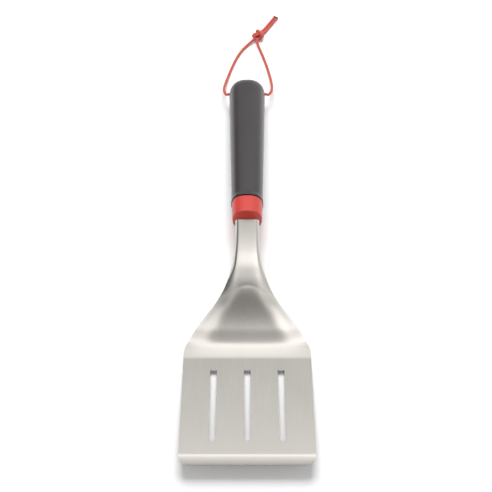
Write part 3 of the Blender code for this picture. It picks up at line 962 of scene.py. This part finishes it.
@dataclass
class GripSleeve:
    """The soft sleeve over the handle's core: a tube with a flared mouth, a domed end and a cord hole."""

    form: HandleForm
    wall: float = 2.2 * MM
    hole_at: float = 156.0 * MM
    hole_radius: float = 2.2 * MM
    mouth_round: float = 0.5 * MM
    round_segments: int = 4
    sharp: float = math.radians(50)
    body_rings: int = 26
    dome_rings: int = 14

    def stations(self) -> list[tuple[float, float, float]]:
        """The sections of the sleeve's outside."""
        form = self.form
        places = [form.sleeve_start + step * MM for step in (0.0, 0.5, 1.0, 1.6, 2.2, 2.9, 3.7, 4.5, 5.5)]
        first = places[-1]
        places += [
            first + (form.dome_start - first) * (i + 1) / self.body_rings for i in range(self.body_rings)
        ]
        sections = [(at, form.half_width(at), form.half_width(at) * form.height_share) for at in places]
        wide = form.half_width(form.dome_start)
        depth = form.end - form.dome_start
        for ring in range(1, self.dome_rings):
            turn = math.pi / 2 * ring / self.dome_rings
            at = form.dome_start + depth * math.sin(turn) ** (2 / form.dome_power)
            left = math.cos(turn) ** (2 / form.dome_power)
            sections.append((at, wide * left, wide * form.height_share * left))
        return sections

    def build(self, finish: bpy.types.Material) -> bpy.types.Object:
        """Makes the sleeve.

        Args:
            finish: Its material.

        Returns:
            The sleeve.
        """
        bm = self.form.loft(self.stations(), pole=self.form.end, front=False)
        self.form.place(bm)
        sleeve = show("grip_sleeve_skin", bm, finish)
        wall = sleeve.modifiers.new("wall", "SOLIDIFY")
        wall.thickness = self.wall
        wall.offset = -1.0
        hole = rod(self.hole_radius, 4 * self.form.widest_half_width, Matrix.Rotation(math.pi / 2, 3, "Y"))
        bmesh.ops.translate(hole, vec=(0, self.hole_at, 0), verts=hole.verts)
        self.form.place(hole)
        cut(sleeve, "cord_hole", hole)
        round_edges(sleeve, self.mouth_round, self.round_segments, self.sharp)
        freeze(sleeve)
        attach(sleeve, Body.SPATULA.value)
        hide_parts("grip_sleeve")
        return sleeve


@dataclass
class Collar:
    """The red collar that closes the front of the handle round the neck."""

    form: HandleForm
    head: Head
    length: float = 16.7 * MM
    front_half_width: float = 12.15 * MM
    rear_half_width: float = 12.95 * MM
    wall: float = 1.9 * MM
    front_wall: float = 2.6 * MM
    edge: float = 0.7 * MM
    edge_rings: int = 5
    edge_round: float = 0.22 * MM
    edge_segments: int = 2
    sharp: float = math.radians(50)
    mouth_corner: float = 3.0 * MM

    def stations(self) -> list[tuple[float, float, float]]:
        """The sections of the collar's outside, with both ends rounded."""
        sections = []
        for ring in range(self.edge_rings + 1):
            turn = math.pi / 2 * ring / self.edge_rings
            at = self.edge * (1 - math.sin(turn))
            wide = self.front_half_width - self.edge * (1 - math.cos(turn))
            sections.append((at, wide))
        sections.reverse()
        steps = 8
        rear_edge = self.edge * 0.5
        last = self.length - rear_edge
        for step in range(1, steps + 1):
            share = step / steps
            at = self.edge + (last - self.edge) * share
            wide = self.front_half_width + (self.rear_half_width - self.front_half_width) * share
            sections.append((at, wide))
        for ring in range(1, self.edge_rings + 1):
            turn = math.pi / 2 * ring / self.edge_rings
            wide = self.rear_half_width - rear_edge * (1 - math.cos(turn))
            sections.append((last + rear_edge * math.sin(turn), wide))
        return [(at, wide, wide * self.form.height_share) for at, wide in sections]

    def mouth(self) -> bmesh.types.BMesh:
        """The opening that the neck comes out of, with rounded upper corners."""
        head = self.head
        drop = head.flange_radius * (1 - math.cos(head.flange_angle))
        drop += head.flange_length * math.sin(head.flange_angle)
        top = head.axis_under_neck + head.sheet / 2 + GAP
        bottom = head.axis_under_neck - head.sheet / 2 - drop - GAP
        wide = 2 * (head.outline.points[-1][1] * MM + GAP)
        bm = bmesh.new()
        bmesh.ops.create_cube(bm, size=1.0)
        bmesh.ops.scale(bm, vec=(wide, 4 * self.front_wall, top - bottom), verts=bm.verts)
        bmesh.ops.translate(bm, vec=(0, 0, (top + bottom) / 2), verts=bm.verts)
        upper = [
            edge for edge in bm.edges
            if all(vert.co.z > 0 for vert in edge.verts)
            and abs(edge.verts[0].co.y - edge.verts[1].co.y) > MM
        ]
        bmesh.ops.bevel(
            bm, geom=upper, offset=self.mouth_corner, affect="EDGES", segments=8, profile=0.5, material=-1
        )
        return bm

    def build(self, finish: bpy.types.Material) -> bpy.types.Object:
        """Makes the collar.

        Args:
            finish: Its material.

        Returns:
            The collar.
        """
        bm = self.form.loft(self.stations())
        self.form.place(bm)
        collar = show("red_collar", bm, finish)
        inner = self.front_half_width - self.wall
        inner_high = self.front_half_width * self.form.height_share - self.wall
        hollow = self.form.loft(
            [(self.front_wall, inner, inner_high), (self.length + 2 * MM, inner, inner_high)]
        )
        mouth = self.mouth()
        for name, cutter in (("collar_hollow", hollow), ("collar_mouth", mouth)):
            self.form.place(cutter)
            cut(collar, name, cutter)
        round_edges(collar, self.edge_round, self.edge_segments, self.sharp)
        freeze(collar)
        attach(collar, Body.SPATULA.value)
        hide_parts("collar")
        # The steel neck doesn't mirror the collar.
        collar.visible_glossy = False
        return collar


@dataclass
class InnerParts:
    """The core and the two tang pins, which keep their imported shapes."""

    nodes: dict[str, bpy.types.Object]

    def dress(self, core: bpy.types.Material, pins: bpy.types.Material) -> None:
        """Gives the inner parts their materials."""
        for name, finish in (("handle_core", core), ("tang_pin_front", pins), ("tang_pin_rear", pins)):
            for place in self.nodes[name].material_slots:
                place.material = finish


# ---------------------------------------------------------------- cord


@dataclass
class Braid:
    """A round braided cord."""

    radius: float = 1.25 * MM
    strands: int = 8
    pitch: float = 8.2 * MM
    depth: float = 0.15 * MM
    around: int = 48
    step: float = 0.14 * MM

    def crown(self, turn: float, along: float) -> float:
        """Height of the yarn over the hollows between strands, from 0 to 1.

        Args:
            turn: Angle round the cord.
            along: Distance along it.

        Returns:
            The height.
        """
        u = self.strands * (turn / (2 * math.pi) + along / self.pitch)
        v = self.strands * (turn / (2 * math.pi) - along / self.pitch)
        over, under = (u, v) if (math.floor(u) + math.floor(v)) % 2 == 0 else (v, u)
        across = 2 * (over - math.floor(over)) - 1
        length = 2 * (under - math.floor(under)) - 1
        return math.sqrt(max(0.0, 1 - across**2)) * (1 - 0.35 * length**2)

    def tube(self, points: Sequence[Vector]) -> bmesh.types.BMesh:
        """The cord's skin along a line.

        Args:
            points: The line, finely spaced.

        Returns:
            The closed skin, with the crown's height in its "strand" layer.
        """
        centres = resample(points, self.step)
        frames = carried_frames(centres)
        rings = len(centres) - 1
        bm = bmesh.new()
        layer = bm.verts.layers.float.new("strand")
        bmesh.ops.create_grid(bm, x_segments=self.around, y_segments=rings, size=1.0)
        along = path_length(centres) / rings
        for vert in bm.verts:
            column = round((vert.co.x + 1) / 2 * self.around) % self.around
            ring = round((vert.co.y + 1) / 2 * rings)
            turn = 2 * math.pi * column / self.around
            high = self.crown(turn, along * ring)
            radius = self.radius - self.depth * (1 - high)
            side, up = frames[ring]
            vert.co = centres[ring] + side * (radius * math.cos(turn)) + up * (radius * math.sin(turn))
            vert[layer] = high
        bmesh.ops.remove_doubles(bm, verts=bm.verts, dist=1e-7)
        rims = [e for e in bm.edges if e.is_boundary]
        bmesh.ops.holes_fill(bm, edges=rims, sides=0)
        bmesh.ops.recalc_face_normals(bm, faces=bm.faces)
        return bm


def path_length(points: Sequence[Vector]) -> float:
    """Length of the line through points."""
    return sum((b - a).length for a, b in zip(points, points[1:]))


def smooth_line(points: Sequence[Sequence[float]], steps: int = 12) -> list[Vector]:
    """A smooth line through points.

    Args:
        points: The points.
        steps: How many short pieces stand between two of them.

    Returns:
        The line.
    """
    line = [Vector(p) for p in points]
    ends = [2 * line[0] - line[1]] + line + [2 * line[-1] - line[-2]]
    fine = []
    for a, b, c, d in zip(ends, ends[1:], ends[2:], ends[3:]):
        for step in range(steps):
            t = step / steps
            fine.append(
                0.5 * (2 * b + (c - a) * t + (2 * a - 5 * b + 4 * c - d) * t**2
                       + (3 * b - 3 * c + d - a) * t**3)
            )
    fine.append(line[-1])
    return fine


def resample(points: Sequence[Vector], step: float) -> list[Vector]:
    """Evenly spaced points on a line.

    Args:
        points: The line.
        step: The wanted spacing.

    Returns:
        The points.
    """
    lengths = [0.0]
    for a, b in zip(points, points[1:]):
        lengths.append(lengths[-1] + (b - a).length)
    count = max(2, round(lengths[-1] / step))
    even = []
    k = 0
    for i in range(count + 1):
        want = lengths[-1] * i / count
        while k < len(points) - 2 and lengths[k + 1] < want:
            k += 1
        share = (want - lengths[k]) / max(1e-12, lengths[k + 1] - lengths[k])
        even.append(points[k].lerp(points[k + 1], min(1.0, share)))
    return even


def carried_frames(
    centres: Sequence[Vector], first: Vector = Vector((0.0, 0.0, 1.0))
) -> list[tuple[Vector, Vector]]:
    """Two directions across a line, carried along it without twist.

    Args:
        centres: The line.
        first: About where the second direction points at the start.

    Returns:
        A pair of directions at each point.
    """
    frames = []
    up = first
    for i in range(len(centres)):
        ahead = (centres[min(i + 1, len(centres) - 1)] - centres[max(i - 1, 0)]).normalized()
        up = (up - ahead * up.dot(ahead)).normalized()
        frames.append((up.cross(ahead), up))
    return frames


@dataclass
class HangingCord:
    """The cord: two legs out of the handle's sides, an overhand knot in both, two tails and sealed tips."""

    hinge: Vector
    braid: Braid = field(default_factory=Braid)
    mouth: float = 16.5 * MM
    tip_length: float = 2.2 * MM
    tip_lumps: float = 0.06
    knot_centre_mm: tuple[float, float, float] = (11.6, 95.2, 3.9)
    knot_turn: float = math.radians(-30)
    strand_spread: float = 1.15 * MM
    left_leg_mm: tuple = (
        (-0.4, 0.0, None), (-6, 0.0, None), (-12, 0.0, None), (-16.5, 0.1, None), (-19.4, 2.2, 13.4),
        (-21.2, 8, 11.6), (-21.6, 15.5, 8.4), (-20.8, 24, 5.2), (-19.0, 34, 2.6), (-16.4, 45, 1.5),
        (-13.0, 56.5, 1.35), (-8.8, 68, 1.35), (-4.0, 77.5, 1.35), (0.8, 84, 1.7), (5.0, 88.3, 2.7),
    )
    right_leg_mm: tuple = (
        (0.4, 0.0, None), (6, 0.0, None), (12, 0.0, None), (16.6, 0.1, None), (20.0, 2.2, 13.4),
        (22.4, 8, 11.6), (23.4, 16.5, 8.2), (23.2, 26, 5.0), (22.2, 36, 2.6), (20.4, 47, 1.5),
        (17.8, 58.5, 1.35), (14.8, 70, 1.35), (12.0, 79.5, 1.6), (10.0, 86.2, 2.7),
    )
    left_tail_mm: tuple = ((14.5, 102.4, 2.6), (17.8, 108.2, 1.5), (21.7, 115.0, 1.35), (27.3, 124.8, 1.35))
    right_tail_mm: tuple = ((16.7, 101.4, 2.6), (20.0, 106.8, 1.5), (24.0, 113.6, 1.35), (29.5, 123.2, 1.35))
    # The knot's line in its own frame, in millimetres: along it, sideways and up.
    knot_line_mm: tuple = (
        (-5.4, 0.3, -0.6), (-1.8, 0.7, -1.1), (2.0, 1.6, -0.9), (4.2, 3.1, 0.3), (3.5, 2.2, 2.2),
        (1.5, -1.2, 2.8), (-0.2, -3.9, 1.2), (-1.4, -3.5, -1.0), (-3.0, -0.2, -2.0), (-4.3, 3.1, -0.8),
        (-3.7, 3.2, 1.2), (-1.4, 1.4, 2.1), (1.6, -0.5, 1.4), (4.8, -0.7, 0.2),
    )

    def route(self, points: Sequence[tuple]) -> list[Vector]:
        """A route in the model's frame."""
        made = []
        for x, y, z in points:
            height = self.hinge.z if z is None else z * MM
            made.append(Vector((x * MM, self.hinge.y + y * MM, height)))
        return made

    def leg(self, side: Side) -> list[Vector]:
        """The points of a leg, from inside the handle to the knot."""
        return self.route(self.left_leg_mm if side is Side.LEFT else self.right_leg_mm)

    def tail(self, side: Side) -> list[Vector]:
        """The points of a tail, from the knot to its tip."""
        return self.route(self.left_tail_mm if side is Side.LEFT else self.right_tail_mm)

    def knot_strand(self, side: Side) -> list[Vector]:
        """The line of one of the knot's two strands, from its leg to its tail.

        Args:
            side: Which strand.

        Returns:
            The line.
        """
        sign = 1 if side is Side.LEFT else -1
        leg = self.leg(side)[-2:]
        tail = self.tail(side)[:2]
        centre = self.route([self.knot_centre_mm])[0]
        turn = Matrix.Rotation(self.knot_turn, 3, "Z") @ Matrix(((0, -1, 0), (1, 0, 0), (0, 0, 1)))
        pair = resample(smooth_line([turn @ (Vector(p) * MM) + centre for p in self.knot_line_mm]), 0.6 * MM)
        frames = carried_frames(pair)
        last = frames[-1]
        want = turn @ Vector((0, 1, 0))
        twist = math.remainder(math.atan2(want.dot(last[1]), want.dot(last[0])), math.pi)
        line = []
        for i, (point, (across, up)) in enumerate(zip(pair, frames)):
            angle = twist * i / (len(pair) - 1)
            offset = across * math.cos(angle) + up * math.sin(angle)
            line.append(point + offset * (sign * self.strand_spread))
        joined = smooth_line([*leg, *line[::3], *tail], 8)
        start = min(range(len(joined) // 2), key=lambda i: (joined[i] - leg[1]).length)
        end = min(range(len(joined) // 2, len(joined)), key=lambda i: (joined[i] - tail[0]).length)
        return joined[start:end + 1]

    def build(self, yarn: bpy.types.Material, melted: bpy.types.Material) -> list[bpy.types.Object]:
        """Makes the whole cord.

        Args:
            yarn: The braid's material.
            melted: The tips' material.

        Returns:
            Its pieces.
        """
        legs, tails, tips = {}, {}, {}
        knot = self.build_knot(yarn)
        for side in Side:
            leg_line = smooth_line(self.leg(side))
            legs[side] = show(f"cord_leg_{side.value}", self.braid.tube(leg_line), yarn)
            tail_line = smooth_line(self.tail(side))
            tails[side] = show(f"cord_end_{side.value}", self.braid.tube(tail_line), yarn)
            tips[side] = self.build_tip(side, tail_line, melted)
            pieces = [tails[side], tips[side]] + ([knot] if side is Side.LEFT else [])
            for piece in [legs[side], *pieces]:
                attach(piece, Body.CORD.value)
            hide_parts(f"cord_{side.value}")
            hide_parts(f"cord_tail_{side.value}")
            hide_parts(f"cord_tip_{side.value}")
            round(path_length(leg_line), 4)
            resample(leg_line, 1.5 * MM)
        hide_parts("cord_knot")
        return [*legs.values(), knot, *tails.values(), *tips.values()]

    def build_knot(self, yarn: bpy.types.Material) -> bpy.types.Object:
        """Makes the knot from its two strands.

        Args:
            yarn: Its material.

        Returns:
            The knot.
        """
        both = bmesh.new()
        both.verts.layers.float.new("strand")
        for side in Side:
            strand = self.braid.tube(self.knot_strand(side))
            mesh = bpy.data.meshes.new("strand")
            strand.to_mesh(mesh)
            strand.free()
            both.from_mesh(mesh)
            bpy.data.meshes.remove(mesh)
        return show("cord_overhand_knot", both, yarn)

    def build_tip(self, side: Side, tail: Sequence[Vector], melted: bpy.types.Material) -> bpy.types.Object:
        """Makes the melted bead on a tail's end.

        Args:
            side: Which tail.
            tail: The tail's line.
            melted: The bead's material.

        Returns:
            The bead.
        """
        along = (tail[-1] - tail[-3]).normalized()
        bm = bmesh.new()
        bmesh.ops.create_uvsphere(bm, u_segments=32, v_segments=20, radius=1.0)
        turn = Vector((0, 0, 1)).rotation_difference(along).to_matrix()
        for vert in bm.verts:
            place = vert.co.copy()
            wave = math.sin(5 * place.x + 3 * place.z + (side is Side.LEFT))
            lump = 1 + self.tip_lumps * wave * math.cos(4 * place.y)
            flat = math.copysign(abs(place.z) ** 0.6, place.z)
            half_length = self.tip_length / 2 / self.braid.radius
            vert.co = (place.x * 1.02 * lump, place.y * 1.02 * lump, flat * half_length)
        bmesh.ops.scale(bm, vec=[self.braid.radius] * 3, verts=bm.verts)
        bmesh.ops.rotate(bm, matrix=turn, verts=bm.verts)
        centre = tail[-1] + along * (self.tip_length / 2 + 0.1 * MM)
        bmesh.ops.translate(bm, vec=centre, verts=bm.verts)
        bmesh.ops.recalc_face_normals(bm, faces=bm.faces)
        return show(f"cord_bead_{side.value}", bm, melted)


# ---------------------------------------------------------------- studio


@dataclass
class Studio:
    """Camera, pale floor and the soft light round the object."""

    eye: Vector = field(default_factory=lambda: Vector((-0.0010, -0.5032, 0.6745)))
    tilt: float = math.radians(37.5)
    lens: float = 74.34
    floor_size: float = 6.0
    # Brightness of the light tent from the far side (0) over the top (90) to the near side (180).
    tent: tuple[tuple[float, float], ...] = (
        (0, 0.79), (44, 0.79), (48, 0.95), (52, 1.58), (57, 1.98), (79, 1.98), (84, 0.97), (89, 0.64),
        (97, 0.52), (106, 0.38), (150, 0.34), (180, 0.45),
    )
    tent_peak: float = 2.0
    # How the tent dims to the left and brightens to the right, in front and at its two ends.
    left_dim: float = 0.92
    right_gain: float = 0.18
    left_end: float = 0.22
    right_end: float = 0.98
    fill: float = 0.92
    backdrop: float = 0.95
    # Brightness of the tent for the light it throws on matt surfaces.
    diffuse_near: float = 0.78
    diffuse_far: float = 0.40
    key_power: float = 20.5
    key_distance: float = 1.5
    key_height: float = math.radians(62)
    key_size: float = 0.85

    @staticmethod
    def stand(name: str, data: bpy.types.ID, place: Vector, tilt: float) -> bpy.types.Object:
        """Puts a camera or light in the scene, tilted about X from looking straight down."""
        made = bpy.data.objects.new(name, data)
        made.location = place
        made.rotation_euler = (tilt, 0.0, 0.0)
        bpy.context.scene.collection.objects.link(made)
        return made

    def camera(self) -> None:
        """Makes the camera."""
        data = bpy.data.cameras.new("camera")
        data.lens = self.lens
        data.sensor_width = 36.0
        data.clip_start = 0.01
        data.clip_end = 50.0
        bpy.context.scene.camera = self.stand("camera", data, self.eye, self.tilt)

    def floor(self) -> bpy.types.Object:
        """Makes the floor."""
        bm = bmesh.new()
        bmesh.ops.create_grid(bm, x_segments=4, y_segments=4, size=self.floor_size / 2)
        bmesh.ops.translate(bm, vec=(0, 0, -0.2 * MM), verts=bm.verts)
        made = show("floor", bm, PaleFloor().make())
        return made

    def tent_world(self) -> None:
        """Makes the soft light tent: bright over the far side, dim over the near one.

        That is the tent as reflections show it. Seen directly it is an even backdrop, and the light
        that it throws on matt surfaces only fades from the near side to the far one.
        """
        world = bpy.data.worlds.new("light_tent")
        world.use_nodes = True
        world.node_tree.nodes.clear()
        graph = Graph(world.node_tree)
        direction = graph.add("ShaderNodeTexCoord", {}, {}, "Generated")
        axes = [graph.add("ShaderNodeSeparateXYZ", {}, {"Vector": direction}, axis) for axis in "XYZ"]
        turn = axes[2].math("ARCTAN2", axes[1]) / math.pi
        stops = [(angle / 180, bright / self.tent_peak) for angle, bright in self.tent]
        slice_light = graph.add("ShaderNodeValToRGB", {"stops": stops}, {"Fac": turn}) * self.tent_peak
        lean = axes[0].ramp(-0.45, -0.10, self.left_dim, 1.0)
        lean = lean + axes[0].ramp(0.08, 0.28, 0.0, self.right_gain)
        side = axes[0].ramp(-0.95, 0.95, self.left_end, self.right_end)
        aside = axes[0].math("ABSOLUTE")
        ends = aside.ramp(0.38, 0.70)
        filled = slice_light.math("MAXIMUM", aside.ramp(0.10, 0.38, 0.0, self.fill))
        level = filled * lean * (1 - ends) + side * ends
        seen = graph.add("ShaderNodeLightPath", {}, {}, "Is Camera Ray")
        soft = graph.add("ShaderNodeLightPath", {}, {}, "Is Diffuse Ray")
        even = axes[1].ramp(-0.8, 0.3, self.diffuse_near, self.diffuse_far)
        strength = level * (1 - soft) * (1 - seen) + soft * even + seen * self.backdrop
        back = graph.add("ShaderNodeBackground", {}, {"Color": (1.0, 1.0, 1.0, 1.0), "Strength": strength})
        output = world.node_tree.nodes.new("ShaderNodeOutputWorld")
        world.node_tree.links.new(back.socket, output.inputs["Surface"])
        bpy.context.scene.world = world

    def key(self) -> None:
        """Makes the softbox over the far side. It lights the pieces and isn't mirrored in them."""
        data = bpy.data.lights.new("softbox", "AREA")
        data.shape = "SQUARE"
        data.size = self.key_size
        data.energy = self.key_power
        towards = Vector((0.0, math.cos(self.key_height), math.sin(self.key_height)))
        made = self.stand("softbox", data, towards * self.key_distance, self.key_height - math.pi / 2)
        made.visible_glossy = False

    def build(self) -> None:
        """Makes the floor and the light."""
        self.floor()
        self.tent_world()
        self.key()
        bpy.context.scene.view_settings.view_transform = "Standard"


def main() -> None:
    """Builds the spatula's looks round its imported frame."""
    logging.basicConfig(level=logging.INFO, format="%(message)s")
    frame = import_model()
    studio = Studio()
    studio.camera()
    steel = BrushedSteel("brushed_steel").make()
    yarn = BraidedYarn("braided_yarn").make()
    melted = MeltedYarn("melted_yarn").make()
    hinge = Vector(frame["joints"][0]["pos_m"])
    made = HangingCord(hinge).build(yarn, melted)
    head = Head()
    form = HandleForm(head.handle_origin, head.neck_angle)
    grip = SoftTouch("soft_touch").make()
    red = MouldedPlastic("red_collar_plastic", (0.51, 0.036, 0.024), 0.38, 0.70).make()
    made += [head.build(steel), GripSleeve(form).build(grip), Collar(form, head).build(red)]
    for piece in made:
        LOG.info("%s: %d faces", piece.name, len(piece.data.polygons))
    core = MouldedPlastic("black_core_plastic", (0.03, 0.03, 0.03), 0.5).make()
    pins = BrushedSteel("pin_steel", roughness=0.32, line_scale=1600.0, line_stretch=0.3).make()
    InnerParts(frame["nodes"]).dress(core, pins)
    studio.build()


if __name__ == "__main__":
    main()
